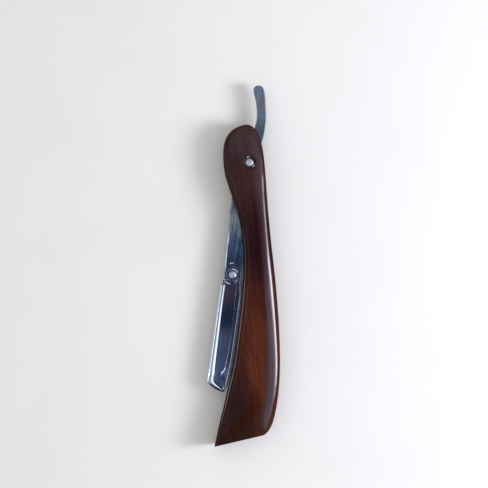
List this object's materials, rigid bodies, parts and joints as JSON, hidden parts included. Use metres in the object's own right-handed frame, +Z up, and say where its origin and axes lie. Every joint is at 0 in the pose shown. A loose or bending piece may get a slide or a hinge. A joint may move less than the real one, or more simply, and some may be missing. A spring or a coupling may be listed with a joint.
{
  "type": "folding barber's razor",
  "caption": "Folding barber's razor with a curved dark wood handle and a swing-lock steel holder that takes half of a double edge blade, shown shut.",
  "frame": {"origin": "centre of the shut razor's outline in plan, on the face it lies on", "axes": "+Z up through the handle from its far side, +Y towards the crown and the tail, +X towards the back of the handle"},
  "size_m": [0.031, 0.1538, 0.0111],
  "materials": {
    "scales": "dark red-brown wood under a thick gloss lacquer",
    "spacer": "dark red-brown wood, glossy",
    "pins": "polished domed heads",
    "washers": "turned rings",
    "thrust_washers": "flat washers inside the handle",
    "tang": "satin stainless with brushed streaks along the shank",
    "studs": "plain",
    "cover": "polished folded sheet",
    "blade": "polished blade steel with a ground edge"
  },
  "bodies": {
    "handle": {"near_scale": "scales", "far_scale": "scales", "butt_spacer": "spacer", "pivot_pin": "pins", "near_pivot_washer": "washers", "far_pivot_washer": "washers", "near_thrust_washer": "thrust_washers", "far_thrust_washer": "thrust_washers"},
    "tang": {"tang": "tang", "blade_studs": "studs", "holder_rivet": "pins", "near_rivet_washer": "washers", "far_rivet_washer": "washers"},
    "cover": {"holder_cover": "cover"},
    "blade": {"half_blade": "blade"}
  },
  "joints": [
    {"name": "tang_swing", "type": "hinge", "parent": "handle", "child": "tang", "pos_m": [0.00249, 0.04384, 0.00555], "axis": [0, 0, -1], "range_deg": [0, 280]},
    {"name": "cover_swing", "type": "hinge", "parent": "tang", "child": "cover", "pos_m": [-0.00466, -0.00393, 0.00555], "axis": [0, 0, -1], "range_deg": [0, 95]},
    {"name": "blade_slide", "type": "slide", "parent": "tang", "child": "blade", "axis": [0.9902, -0.1395, 0], "range_m": [0, 0.012]}
  ]
}
